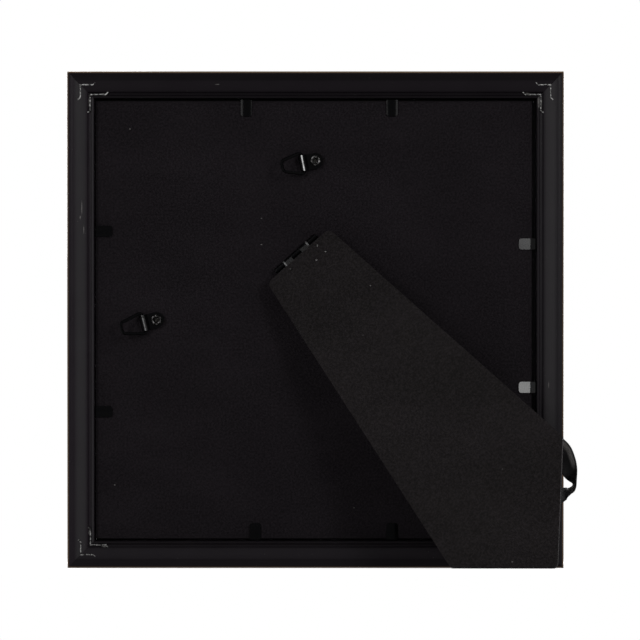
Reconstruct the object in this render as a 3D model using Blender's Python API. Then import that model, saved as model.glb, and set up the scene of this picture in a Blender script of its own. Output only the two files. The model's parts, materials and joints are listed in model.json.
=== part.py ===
"""Square tabletop photo frame that stands on a two-way easel strut.

The frame is modelled upright in its own axes: x to the right as seen from the front, z up,
y backwards, with y = 0 at the highest line of the moulding's back. The strut swings on a
skewed butt hinge. One empty then leans the whole frame back until the bottom rail and the
strut's foot stand on the same plane, with the object's origin below its middle.
"""
import math

import bmesh
import bpy
from mathutils import Matrix, Quaternion, Vector

mm = 0.001

# Clearances
seat_gap = 0.3 * mm
glue_gap = 0.2 * mm
mitre_gap = 0.2 * mm
slot_gap = 0.1 * mm
running_gap = 0.15 * mm
overrun = 1.0 * mm
weld_distance = 0.001 * mm

# Moulding section, u inwards from the outer side and v forwards from the back
sight_lip_width = 5.0 * mm
sight_lip_thickness = 4.6 * mm
back_round_width = 3.7 * mm
back_round_drop = 2.2 * mm
back_band_width = 6.1 * mm
back_band_crown = 0.15 * mm
back_groove_width = 2.0 * mm
back_groove_depth = 0.9 * mm
back_lip_width = 0.9 * mm
front_round_radius = 2.0 * mm
front_flat_width = 2.6 * mm
front_quirk = 0.6 * mm
front_bead_radius = 1.6 * mm
front_bead_drop = 1.2 * mm
front_scoop_sag = 1.3 * mm

# Glass, picture and backboard; the picture's size sets the size of the whole frame
picture_side = 203.2 * mm
rabbet_play = 2.45 * mm
board_allowance = 0.15 * mm
glass_thickness = 2.0 * mm
sheet_thickness = 0.3 * mm
board_thickness = 3.0 * mm
velour_thickness = 0.4 * mm
board_recess = 3.6 * mm

# V-nails, two across each mitre
nail_outer_inset = 6.5 * mm
nail_outer_arm = 7.0 * mm
nail_inner_edge = 1.6 * mm
nail_inner_arm = 8.4 * mm
nail_flare = 1.1 * mm
nail_steel = 0.5 * mm
nail_depth = 6.0 * mm
nail_sink = 0.1 * mm

# Flexible tabs that hold the backboard in
tab_width = 5.2 * mm
tab_reach = 7.8 * mm
tab_root_length = 6.5 * mm
tab_thickness = 0.5 * mm
tab_tip_radius = 1.2 * mm
tab_wall_distance = 0.6 * mm
tab_shares = {
    "top": (0.313, -0.346),
    "right": (0.401, -0.415),
    "bottom": (0.273, -0.345),
    "left": (0.343, -0.305),
}

# Butt hinge between backboard and strut
hinge_tilt = math.radians(41.6)
hinge_right = 6.96 * mm
hinge_height = 28.58 * mm
hinge_width = 25.0 * mm
hinge_steel = 0.6 * mm
hinge_pin_radius = 0.75 * mm
hinge_pin_overhang = 0.5 * mm
hinge_leaf_length = 13.0 * mm
hinge_edge_distance = 3.2 * mm
hinge_curl = math.radians(290)
hinge_knuckles = 5
board_rivet_radius = 1.1 * mm
board_rivet_head_radius = 2.2 * mm
board_rivet_head = 0.55 * mm
board_rivet_shares = ((-0.30, 0.62), (0.30, 0.62))
strut_rivet_radius = 0.5 * mm
strut_rivet_head_radius = 0.7 * mm
strut_rivet_head = 0.3 * mm
strut_rivet_shares = ((-0.26, 0.44), (0.39, 0.44), (0.20, 0.82), (0.44, 0.82))
rivet_flange = 0.4 * mm

# Strut
strut_top_width = 38.4 * mm
strut_inner_flare = math.radians(33.45)
strut_outer_fall = math.radians(42.4)
strut_side_inset = 0.55 * mm
strut_foot_slant = 2.4 * mm
strut_top_radius = 3.0 * mm
strut_foot_radius = 2.2 * mm
strut_corner_radius = 1.2 * mm
strut_board_thickness = 2.4 * mm
strut_liner_thickness = 0.3 * mm
strut_opening = math.radians(17.7)

# D-ring hangers
strap_width = 7.4 * mm
strap_steel = 0.7 * mm
strap_fold_gap = 0.15 * mm
strap_tail = 3.6 * mm
strap_loop_distance = 6.0 * mm
strap_loop_sweep = math.radians(230)
ring_wire_radius = 0.75 * mm
ring_length = 11.6 * mm
ring_tip_width = 5.0 * mm
ring_bar_radius = 1.3 * mm
ring_tip_radius = 2.1 * mm
ring_loop_gap = 0.2 * mm
eyelet_bore_radius = 1.1 * mm
eyelet_shank_radius = 1.6 * mm
eyelet_rim_radius = 2.55 * mm
eyelet_rim = 0.8 * mm
hanger_rail_distance = 29.3 * mm
hanger_top_tilt = math.radians(11)
hanger_side_tilt = math.radians(14)

# Ribbon between backboard and strut, with its two wire staples
ribbon_width = 10.0 * mm
ribbon_thickness = 0.3 * mm
ribbon_steps = 5
staple_wire = 0.6 * mm
staple_leg = 2.3 * mm
staple_side_gap = 0.4 * mm
# Each row: places across and down as shares of half the side, lift as a share of the way
# from the board to the strut's underside at the ribbon's end, and the width's direction.
ribbon_shares = (
    (0.717, 0.442, 0.000, (0.0, 1.0, 0.0)),
    (0.796, 0.448, 0.006, (0.0, 1.0, 0.0)),
    (0.877, 0.466, 0.115, (0.2, 0.97, 0.1)),
    (0.942, 0.492, 0.203, (0.4, 0.88, 0.2)),
    (0.983, 0.526, 0.305, (0.52, 0.77, 0.3)),
    (0.999, 0.567, 0.389, (0.59, 0.66, 0.4)),
    (1.009, 0.601, 0.440, (0.5, 0.35, 0.7)),
    (1.018, 0.634, 0.465, (0.22, 0.06, 0.95)),
    (1.022, 0.661, 0.463, (0.0, -0.1, 1.0)),
    (1.003, 0.678, 0.449, (-0.05, -0.22, 0.95)),
    (0.971, 0.688, 0.451, (-0.05, -0.5, 0.85)),
    (0.908, 0.691, 0.549, (-0.15, -0.85, 0.45)),
    (0.813, 0.631, 0.804, (-0.7, -0.7, 0.0)),
    (0.725, 0.470, 1.000, (-0.85, -0.5, 0.0)),
)

round_sides = 20
arc_steps = 6

rail_back_width = back_round_width + back_band_width + back_groove_width + back_lip_width
half_opening = picture_side / 2 + rabbet_play
half_side = half_opening + rail_back_width
board_side = picture_side + 2 * board_allowance
rail_width = rail_back_width + sight_lip_width
nail_inner_inset = rail_back_width - nail_inner_edge
velour_back = -board_recess
velour_front = velour_back - velour_thickness
board_back = velour_front - glue_gap
board_front = board_back - board_thickness
sheet_back = board_front - seat_gap
sheet_front = sheet_back - sheet_thickness
glass_back = sheet_front - seat_gap
glass_front = glass_back - glass_thickness
rabbet_depth = seat_gap - glass_front
rail_depth = rabbet_depth + sight_lip_thickness

knuckle_inner_radius = hinge_pin_radius + running_gap
knuckle_radius = knuckle_inner_radius + hinge_steel
hinge_axis_depth = velour_back + seat_gap + knuckle_radius
strut_under = knuckle_radius + seat_gap
strut_board_under = strut_under + strut_liner_thickness + glue_gap
strut_board_top = strut_board_under + strut_board_thickness
strut_top = strut_board_top + glue_gap + velour_thickness

along_hinge = Vector((-math.cos(hinge_tilt), 0, math.sin(hinge_tilt)))
towards_foot = Vector((-math.sin(hinge_tilt), 0, -math.cos(hinge_tilt)))
backwards = Vector((0, 1, 0))
hinge_edge_middle = Vector((hinge_right, 0, hinge_height))
hinge_point = hinge_edge_middle - towards_foot * hinge_edge_distance
hinge_point.y = hinge_axis_depth
opening_turn = Quaternion(-along_hinge, strut_opening)


def clear_scene():
    """Starts from an empty scene."""
    for item in list(bpy.data.objects):
        bpy.data.objects.remove(item, do_unlink=True)


def finish(name, colour, roughness, metallic):
    """A plain Principled material."""
    material = bpy.data.materials.new(name)
    material.use_nodes = True
    shader = material.node_tree.nodes["Principled BSDF"]
    shader.inputs["Base Color"].default_value = (*colour, 1)
    shader.inputs["Roughness"].default_value = roughness
    shader.inputs["Metallic"].default_value = metallic
    return material


def empty(name, parent=None, place=(0, 0, 0)):
    """An empty that carries other pieces."""
    item = bpy.data.objects.new(name, None)
    bpy.context.scene.collection.objects.link(item)
    item.parent = parent
    item.location = place
    return item


def piece(name, shape, material, parent, place=(0, 0, 0)):
    """Turns a bmesh into a named object with its faces pointing out."""
    bmesh.ops.recalc_face_normals(shape, faces=shape.faces)
    mesh = bpy.data.meshes.new(name)
    shape.to_mesh(mesh)
    shape.free()
    mesh.shade_smooth()
    mesh.set_sharp_from_angle(angle=math.radians(35))
    item = bpy.data.objects.new(name, mesh)
    bpy.context.scene.collection.objects.link(item)
    item.parent = parent
    item.location = place
    if material:
        mesh.materials.append(material)
    return item


def cutter(name, shape, parent, place=(0, 0, 0)):
    """A tool body that the build leaves out."""
    item = piece(name, shape, None, parent, place)
    item.hide_render = True
    item.display_type = "WIRE"
    return item


def cut(item, tool, operation="DIFFERENCE"):
    """Cuts a piece with a tool body, or keeps what the two share."""
    boolean = item.modifiers.new(tool.name, "BOOLEAN")
    boolean.operation = operation
    boolean.solver = "EXACT"
    boolean.object = tool


def arc(centre, radii, start, end, steps=arc_steps):
    """Points on an elliptical arc, both ends included."""
    points = []
    for step in range(steps + 1):
        angle = start + (end - start) * step / steps
        across = centre[0] + radii[0] * math.cos(angle)
        up = centre[1] + radii[1] * math.sin(angle)
        points.append((across, up))
    return points


def rounded(corners, radii, steps=arc_steps):
    """A closed outline with each corner rounded by its own radius."""
    outline = []
    count = len(corners)
    for index, radius in enumerate(radii):
        corner = Vector(corners[index])
        before = (Vector(corners[index - 1]) - corner).normalized()
        after = (Vector(corners[(index + 1) % count]) - corner).normalized()
        half_angle = before.angle(after) / 2
        centre = corner + (before + after).normalized() * radius / math.sin(half_angle)
        first = corner + before * radius / math.tan(half_angle) - centre
        last = corner + after * radius / math.tan(half_angle) - centre
        sweep = first.angle_signed(last)
        for step in range(steps + 1):
            outline.append(tuple(centre + Matrix.Rotation(-sweep * step / steps, 2) @ first))
    return outline


def strip_outline(path, width):
    """The closed outline of a strip of even width along an open path."""
    points = [Vector(point) for point in path]
    left = []
    right = []
    for index, point in enumerate(points):
        ahead = (points[min(index + 1, len(points) - 1)] - point)
        behind = (point - points[max(index - 1, 0)])
        ahead = ahead.normalized() if ahead.length else behind.normalized()
        behind = behind.normalized() if behind.length else ahead
        normal = Vector((-(ahead + behind).y, (ahead + behind).x)).normalized()
        reach = width / 2 / normal.dot(Vector((-ahead.y, ahead.x)))
        left.append(tuple(point + normal * reach))
        right.append(tuple(point - normal * reach))
    return left + right[::-1]


def extruded(shape, outline, origin, first, second, sweep):
    """Adds an outline in two directions, swept along a third, as one closed body."""
    base = [shape.verts.new(origin + first * a + second * b) for a, b in outline]
    face = shape.faces.new(base)
    swept = bmesh.ops.extrude_face_region(shape, geom=[face])
    moved = [item for item in swept["geom"] if isinstance(item, bmesh.types.BMVert)]
    bmesh.ops.translate(shape, verts=moved, vec=sweep)


def plate(outline, low, high):
    """A flat plate: its outline in x and z, its faces at two depths."""
    shape = bmesh.new()
    right, up = Vector((1, 0, 0)), Vector((0, 0, 1))
    extruded(shape, outline, backwards * low, right, up, backwards * (high - low))
    return shape


def square(side):
    """The outline of a square about the frame's middle."""
    half = side / 2
    return [(-half, -half), (half, -half), (half, half), (-half, half)]


def turned(shape, profile, centre, closed=False):
    """Adds a body turned about the y direction from a profile of radius and depth."""
    ring = [shape.verts.new(centre + Vector((radius, depth, 0))) for radius, depth in profile]
    edges = [shape.edges.new(pair) for pair in zip(ring, ring[1:])]
    if closed:
        edges.append(shape.edges.new((ring[-1], ring[0])))
    bmesh.ops.spin(
        shape, geom=ring + edges, cent=centre, axis=backwards,
        angle=2 * math.pi, steps=round_sides, use_merge=True)
    bmesh.ops.remove_doubles(shape, verts=shape.verts, dist=weld_distance)


def bored(shape, centre, radius, low, high):
    """Adds a plain round body, such as the tool for a hole."""
    turned(shape, [(0, low), (radius, low), (radius, high), (0, high)], centre)


def plan(point):
    """A place in the frame's plane as x and z."""
    return (point.x, point.z)


def moulding_profile():
    """The rail's section as (u, v): back, rabbet, sight edge, front and outer side."""
    quarter = math.pi / 2
    points = arc((back_round_width, back_round_drop),
                 (back_round_width, back_round_drop - back_band_crown), 2 * quarter, 3 * quarter)
    for step in range(1, arc_steps):
        share = step / arc_steps
        points.append((back_round_width + back_band_width * share,
                       back_band_crown * (2 * share - 1) ** 2))
    groove_start = back_round_width + back_band_width
    groove_middle = groove_start + back_groove_width / 2
    points += arc((groove_middle, back_band_crown), (back_groove_width / 2, back_groove_depth),
                  2 * quarter, 0)
    points.append((rail_back_width, back_band_crown))
    points.append((rail_back_width, rabbet_depth))
    points.append((rail_width, rabbet_depth))
    bead_level = rail_depth - front_bead_drop - front_bead_radius
    bead_middle = rail_width - front_bead_radius
    points += arc((bead_middle, bead_level), (front_bead_radius, front_bead_radius), 0, 2 * quarter)
    scoop_end = bead_middle - front_bead_radius
    scoop_start = front_round_radius + front_flat_width
    scoop_top = rail_depth - front_quirk
    for step in range(arc_steps, -1, -1):
        share = step / arc_steps
        level = scoop_top + (bead_level + front_quirk - scoop_top) * share
        sag = 4 * front_scoop_sag * share * (1 - share)
        points.append((scoop_start + (scoop_end - scoop_start) * share, level - sag))
    points.append((scoop_start, rail_depth))
    points += arc((front_round_radius, rail_depth - front_round_radius),
                  (front_round_radius, front_round_radius), quarter, 2 * quarter)
    return points


def rail_mesh(profile):
    """The top rail: the section drawn out sideways and mitred at both ends."""
    shape = bmesh.new()
    loops = []
    for side in (-1, 1):
        loop = []
        for u, v in profile:
            end = half_side - u - mitre_gap / math.sqrt(2)
            loop.append(shape.verts.new((side * end, -v, half_side - u)))
        shape.faces.new(loop)
        loops.append(loop)
    count = len(profile)
    for index in range(count):
        ahead = (index + 1) % count
        shape.faces.new((loops[0][index], loops[0][ahead], loops[1][ahead], loops[1][index]))
    return shape


def nail_places():
    """Each V-nail's name, its point on the mitre, the ways outwards and its arms' length."""
    rows = (("outer", nail_outer_inset, nail_outer_arm), ("inner", nail_inner_inset, nail_inner_arm))
    places = []
    for across, side in ((-1, "left"), (1, "right")):
        for up, level in ((-1, "bottom"), (1, "top")):
            for row, inset, arm in rows:
                point = Vector((across, 0, up)) * (half_side - inset)
                outwards = (Vector((across, 0, 0)), Vector((0, 0, up)))
                places.append((f"v_nail_{level}_{side}_{row}", point, outwards, arm))
    return places


def nail_body(shape, point, outwards, arm, allowance, low, high):
    """Adds one V-nail or, with an allowance, its slot: two arms with flared ends."""
    knee = arm - nail_flare
    end = arm + allowance
    lift = nail_flare + allowance
    path = [(-end, lift), (-knee, 0), (0, 0), (0, -knee), (lift, -end)]
    outline = strip_outline(path, nail_steel + 2 * allowance)
    extruded(shape, outline, point + backwards * low, *outwards, backwards * (high - low))


def tab_places():
    """Each tab's name, the point at its rail's inner wall and the direction inwards."""
    directions = {"top": (0, -1), "right": (-1, 0), "bottom": (0, 1), "left": (1, 0)}
    places = []
    for side, shares in tab_shares.items():
        inwards = Vector((directions[side][0], 0, directions[side][1]))
        along = Vector((abs(inwards.z), 0, abs(inwards.x)))
        for letter, share in zip("ab", shares):
            wall = along * half_opening * share - inwards * half_opening
            places.append((f"{side}_{letter}", wall, inwards, along))
    return places


def tab_block(shape, wall, inwards, along, far, allowance):
    """Adds the straight root of a tab or, with an allowance, its slot in the rail."""
    half_width = tab_width / 2 + allowance
    near = -tab_root_length - allowance
    outline = [(near, -half_width), (far, -half_width), (far, half_width), (near, half_width)]
    low = velour_back + seat_gap - allowance
    tall = tab_thickness + 2 * allowance
    extruded(shape, outline, wall + backwards * low, inwards, along, backwards * tall)


def strut_corners():
    """The closed strut's corners in the frame's plane: hinge end, then round the foot."""
    low_hinge = hinge_edge_middle - along_hinge * strut_top_width / 2
    high_hinge = hinge_edge_middle + along_hinge * strut_top_width / 2
    inner_fall = low_hinge.z + half_side
    inner_foot = (low_hinge.x - inner_fall * math.tan(strut_inner_flare), -half_side)
    side = strut_side_inset - half_side
    outer_run = high_hinge.x - side
    outer_foot = (side, high_hinge.z - outer_run * math.tan(strut_outer_fall))
    foot = (side + strut_foot_slant, -half_side)
    return [plan(high_hinge), plan(low_hinge), inner_foot, foot, outer_foot]


def strut_outline(inset):
    """The strut's rounded outline, drawn in all round for the layers inside the cover."""
    corners = [Vector(corner) for corner in strut_corners()]
    count = len(corners)
    moved = []
    for index, corner in enumerate(corners):
        before = (corners[index - 1] - corner).normalized()
        after = (corners[(index + 1) % count] - corner).normalized()
        bisector = (before + after).normalized()
        moved.append(corner + bisector * inset / abs(bisector.cross(before)))
    radii = (strut_top_radius, strut_top_radius, strut_corner_radius, strut_foot_radius,
             strut_corner_radius)
    return rounded(moved, [radius - inset for radius in radii])


def strut_layer(name, inset, low, high, material, pivot):
    """One flat layer of the strut, at two heights above the hinge's axis."""
    shape = plate(strut_outline(inset), low, high)
    place = Vector((-hinge_point.x, 0, -hinge_point.z))
    bmesh.ops.translate(shape, verts=shape.verts, vec=place)
    return piece(name, shape, material, pivot)


def leaf_path(side):
    """A hinge leaf's middle line: along its plate, then curled round the pin."""
    middle = knuckle_inner_radius + hinge_steel / 2
    quarter = math.pi / 2
    curl = arc((0, 0), (middle, middle * side), -quarter, -quarter - hinge_curl, 2 * arc_steps)
    return [(hinge_leaf_length, -middle * side)] + curl


def hinge_leaf(side, pieces_at):
    """A leaf with its knuckles, as a body and as the tool that frees the other leaf's."""
    shape = bmesh.new()
    start = -along_hinge * hinge_width / 2
    outline = strip_outline(leaf_path(side), hinge_steel)
    extruded(shape, outline, start, towards_foot, backwards, along_hinge * hinge_width)
    notches = bmesh.new()
    pitch = hinge_width / hinge_knuckles
    reach = knuckle_radius + overrun
    free = knuckle_radius + seat_gap
    box = [(-reach, -reach), (free, -reach), (free, reach), (-reach, reach)]
    for index in pieces_at:
        low = pitch * index - seat_gap / 2
        high = pitch * (index + 1) + seat_gap / 2
        if index == 0:
            low -= overrun
        if index == hinge_knuckles - 1:
            high += overrun
        extruded(notches, box, start + along_hinge * low, towards_foot, backwards,
                 along_hinge * (high - low))
    return shape, notches


def hinge_place(shares):
    """A place on a leaf, from its shares of the hinge's width and of the leaf's length."""
    return along_hinge * hinge_width * shares[0] + towards_foot * hinge_leaf_length * shares[1]


def domed(radius, height, low, upwards=1):
    """Profile points of a low domed head, from its rim to its crown."""
    points = arc((0, low), (radius, height * upwards), 0, math.pi / 2, 3)
    return points[:-1] + [(0, low + height * upwards)]


def strut_underside(x, z):
    """Depth of the open strut's underside above a place in the frame's plane."""
    run = (Vector((x, 0, z)) - hinge_point).dot(towards_foot)
    lift = strut_under / math.cos(strut_opening)
    return hinge_axis_depth + lift + run * math.tan(strut_opening)


def ribbon_sections():
    """The ribbon's middle line and width directions, on a smooth curve."""
    last = ribbon_shares[-1]
    board_level = velour_back + seat_gap + ribbon_thickness / 2
    strut_level = strut_underside(-last[0] * half_side, -last[1] * half_side)
    strut_level -= (seat_gap + ribbon_thickness / 2) / math.cos(strut_opening)
    points = []
    widths = []
    for across, down, lift, width in ribbon_shares:
        depth = board_level + (strut_level - board_level) * lift
        points.append(Vector((-across * half_side, depth, -down * half_side)))
        widths.append(Vector((-width[0], width[2], width[1])))
    points = [points[0] * 2 - points[1]] + points + [points[-1] * 2 - points[-2]]
    widths = [widths[0]] + widths + [widths[-1]]
    middles = []
    directions = []
    for index in range(1, len(points) - 2):
        closing = index == len(points) - 3
        for step in range(ribbon_steps + closing):
            share = step / ribbon_steps
            middles.append(smooth_between(points[index - 1:index + 3], share))
            directions.append(smooth_between(widths[index - 1:index + 3], share))
    return middles, directions


def smooth_between(four, share):
    """A point between the second and third of four, on the curve through them all."""
    before, start, end, after = four
    leave = (end - before) / 2
    arrive = (after - start) / 2
    square_share = share * share
    cube_share = square_share * share
    return (start * (2 * cube_share - 3 * square_share + 1)
            + leave * (cube_share - 2 * square_share + share)
            + end * (3 * square_share - 2 * cube_share)
            + arrive * (cube_share - square_share))


def ribbon_mesh():
    """The ribbon as a thin strip, in triangles, as its twisted sides aren't flat."""
    middles, directions = ribbon_sections()
    shape = bmesh.new()
    rings = []
    strut_normal = opening_turn @ backwards
    for index, middle in enumerate(middles):
        ahead = middles[min(index + 1, len(middles) - 1)]
        behind = middles[max(index - 1, 0)]
        tangent = (ahead - behind).normalized()
        width = directions[index] - tangent * directions[index].dot(tangent)
        if index >= len(middles) - ribbon_steps:
            width = tangent.cross(strut_normal) * -1
            width *= math.copysign(1, width.dot(directions[index]))
        width = width.normalized() * ribbon_width / 2
        thick = tangent.cross(width).normalized() * ribbon_thickness / 2
        corners = (width + thick, width - thick, -width - thick, thick - width)
        rings.append([shape.verts.new(middle + corner) for corner in corners])
    for ring, following in zip(rings, rings[1:]):
        for index in range(4):
            ahead = (index + 1) % 4
            shape.faces.new((ring[index], ring[ahead], following[ahead], following[index]))
    shape.faces.new(rings[0])
    shape.faces.new(rings[-1])
    bmesh.ops.triangulate(shape, faces=shape.faces)
    length = sum((end - start).length for start, end in zip(middles, middles[1:]))
    print(f"ribbon length {length / mm:.1f} mm")
    return shape


def staple_body(shape, middle, across, outwards, allowance):
    """Adds a wire staple over the ribbon: across its width, with both legs driven in."""
    half_crown = ribbon_width / 2 + staple_side_gap + staple_wire / 2
    crown = ribbon_thickness / 2 + seat_gap + staple_wire / 2
    leg_end = crown - staple_wire / 2 - ribbon_thickness - 2 * seat_gap - staple_leg - allowance
    path = [(-half_crown, leg_end), (-half_crown, crown), (half_crown, crown), (half_crown, leg_end)]
    along = across.cross(outwards)
    wire = staple_wire + 2 * allowance
    outline = strip_outline(path, wire)
    extruded(shape, outline, middle - along * wire / 2, across, outwards, along * wire)


def strap_parts(direction, across):
    """A hanger's folded strap about its rivet, its plan outline and its rivet hole."""
    low = seat_gap + strap_steel / 2
    high = low + strap_steel + strap_fold_gap
    loop_middle = ring_wire_radius + ring_loop_gap + strap_steel / 2
    centre = (strap_loop_distance, low + loop_middle)
    quarter = math.pi / 2
    tail = -strap_tail - overrun
    loop = arc(centre, (loop_middle, loop_middle), -quarter, strap_loop_sweep - quarter,
               2 * arc_steps)
    leaving = strap_loop_sweep - quarter
    drop = loop[-1][1] - high
    flat = (loop[-1][0] + drop * math.sin(leaving) / math.cos(leaving), high)
    folded = bmesh.new()
    half = across * strap_width / 2
    outline = strip_outline([(tail, low)] + loop + [flat, (tail, high)], strap_steel)
    extruded(folded, outline, -half, direction, backwards, half * 2)
    stencil = bmesh.new()
    nose = strap_width / 2
    reach = strap_loop_distance + loop_middle + strap_steel + overrun
    plan_outline = [(reach, -nose), (reach, nose)]
    plan_outline += arc((nose - strap_tail, 0), (nose, nose), quarter, 3 * quarter, 2 * arc_steps)
    tall = centre[1] + loop_middle + strap_steel + overrun
    extruded(stencil, plan_outline, -backwards * overrun, direction, across,
             backwards * (tall + overrun))
    hole = bmesh.new()
    bored(hole, Vector((0, 0, 0)), eyelet_shank_radius + running_gap, -overrun, tall)
    return folded, stencil, hole, centre[1]


def ring_curve(name, direction, across, material, parent, place):
    """A hanger's wire ring: a rounded trapezoid about its straight bar."""
    half_tip = ring_tip_width / 2
    beside_strap = strap_width / 2 + seat_gap + ring_wire_radius
    fold_share = (ring_wire_radius + ring_loop_gap + strap_steel) / ring_length
    half_bar = (beside_strap - half_tip * fold_share) / (1 - fold_share)
    corners = [(0, -half_bar), (ring_length, -half_tip), (ring_length, half_tip), (0, half_bar)]
    radii = (ring_bar_radius, ring_tip_radius, ring_tip_radius, ring_bar_radius)
    path = rounded(corners, radii)
    curve = bpy.data.curves.new(name, "CURVE")
    curve.dimensions = "3D"
    curve.bevel_depth = ring_wire_radius
    curve.bevel_resolution = 2
    spline = curve.splines.new("POLY")
    spline.points.add(len(path) - 1)
    spline.use_cyclic_u = True
    for point, (run, side) in zip(spline.points, path):
        point.co = (*(direction * run + across * side), 1)
    curve.materials.append(material)
    item = bpy.data.objects.new(name, curve)
    bpy.context.scene.collection.objects.link(item)
    item.parent = parent
    item.location = place
    return item


def eyelet_profile(strap_top):
    """A hollow rivet: rolled rim on the strap, shank through the board, flange inside."""
    rim_low = strap_top + seat_gap
    rim_middle = (eyelet_bore_radius + eyelet_rim_radius) / 2
    rim_half = (eyelet_rim_radius - eyelet_bore_radius) / 2
    inside = board_front - velour_back
    points = [(eyelet_bore_radius, inside), (eyelet_rim_radius, inside)]
    points += [(eyelet_rim_radius, inside + rivet_flange)]
    points += [(eyelet_shank_radius, inside + rivet_flange), (eyelet_shank_radius, rim_low)]
    points += arc((rim_middle, rim_low), (rim_half, eyelet_rim), 0, math.pi)
    return points


def world_bounds(items):
    """Lowest and highest corners of the evaluated pieces."""
    graph = bpy.context.evaluated_depsgraph_get()
    low = Vector((math.inf,) * 3)
    high = -low
    for item in items:
        solid = item.evaluated_get(graph)
        mesh = solid.to_mesh()
        for vertex in mesh.vertices:
            place = solid.matrix_world @ vertex.co
            low = Vector(map(min, low, place))
            high = Vector(map(max, high, place))
        solid.to_mesh_clear()
    return low, high


def leaning_angle(profile):
    """The lean that puts the bottom rail and the open strut's foot on one plane."""
    foot_points = []
    for x, z in strut_outline(0):
        for height in (strut_under, strut_top):
            closed = Vector((x, 0, z)) - Vector((hinge_point.x, -height, hinge_point.z))
            foot_points.append(opening_turn @ closed + hinge_point)
    lean = 0
    for attempt in range(4):
        rail_low = min(profile, key=lambda p: p[1] * math.sin(lean) + p[0] * math.cos(lean))
        edge_y, edge_z = -rail_low[1], rail_low[0] - half_side
        slopes = [(p.z - edge_z) / (p.y - edge_y) for p in foot_points if p.y > hinge_edge_distance]
        lean = math.atan(min(slopes))
    return lean


def build_rails(stand, profile, black):
    """Four mitred rails, with the slots for the V-nails and for the tabs."""
    nail_slots = bmesh.new()
    for name, point, outwards, arm in nail_places():
        nail_body(nail_slots, point, outwards, arm, slot_gap, -nail_depth, overrun)
    nail_slots = cutter("nail_slots", nail_slots, stand)
    tab_slots = bmesh.new()
    for name, wall, inwards, along in tab_places():
        tab_block(tab_slots, wall, inwards, along, overrun, slot_gap)
    tab_slots = cutter("tab_slots", tab_slots, stand)
    top_rail = piece("top_rail", rail_mesh(profile), black, stand)
    rails = [top_rail]
    for side in ("right", "bottom", "left"):
        rail = bpy.data.objects.new(f"{side}_rail", top_rail.data)
        bpy.context.scene.collection.objects.link(rail)
        rail.parent = stand
        rail.rotation_euler.y = len(rails) * math.pi / 2
        rails.append(rail)
    for rail in rails:
        cut(rail, nail_slots)
        cut(rail, tab_slots)


def build_nails(stand, steel):
    """The V-nails across the mitres."""
    for name, point, outwards, arm in nail_places():
        shape = bmesh.new()
        nail_body(shape, point, outwards, arm, 0, slot_gap - nail_depth, -nail_sink)
        piece(name, shape, steel, stand)


def build_tabs(stand, material):
    """Each tab's fixed root in the rail and its bendable leaf, with its origin on the bend."""
    level = velour_back + seat_gap + tab_thickness / 2
    half_width = tab_width / 2
    corners = [(0, -half_width), (tab_reach, -half_width), (tab_reach, half_width), (0, half_width)]
    sharp = tab_thickness / 4
    outline = rounded(corners, (sharp, tab_tip_radius, tab_tip_radius, sharp), 3)
    root_end = tab_wall_distance - tab_thickness / 2 - running_gap
    for name, wall, inwards, along in tab_places():
        shape = bmesh.new()
        tab_block(shape, wall, inwards, along, root_end, 0)
        piece(f"tab_root_{name}", shape, material, stand)
        bend = wall + inwards * tab_wall_distance + backwards * level
        shape = bmesh.new()
        extruded(shape, outline, -backwards * tab_thickness / 2, inwards, along,
                 backwards * tab_thickness)
        piece(f"tab_{name}", shape, material, stand, bend)


def build_pack(stand, clear, paper, hardboard, velour):
    """Glass, picture sheet, backboard and its velour facing, drilled for every rivet."""
    piece("glass_pane", plate(square(picture_side), glass_front, glass_back), clear, stand)
    piece("picture_sheet", plate(square(picture_side), sheet_front, sheet_back), paper, stand)
    board = plate(square(board_side), board_front, board_back)
    board = piece("backboard", board, hardboard, stand)
    facing = plate(square(board_side), velour_front, velour_back)
    facing = piece("backboard_velour", facing, velour, stand)
    return board, facing


def drill(pieces, places, radius, low, high, name, parent):
    """Drills the same holes through several pieces."""
    tool = bmesh.new()
    for place in places:
        bored(tool, place, radius, low, high)
    tool = cutter(name, tool, parent)
    for item in pieces:
        cut(item, tool)


def rivet_tool(shape, place, shank_radius, head_radius, front, back):
    """Adds a rivet's hole through the backboard, with a recess for its inner flange."""
    hole = shank_radius + slot_gap
    recess = head_radius + slot_gap
    sunk = front + rivet_flange + slot_gap
    low = front - overrun
    high = back + overrun
    turned(shape, [(0, low), (recess, low), (recess, sunk), (hole, sunk), (hole, high), (0, high)],
           place)


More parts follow.
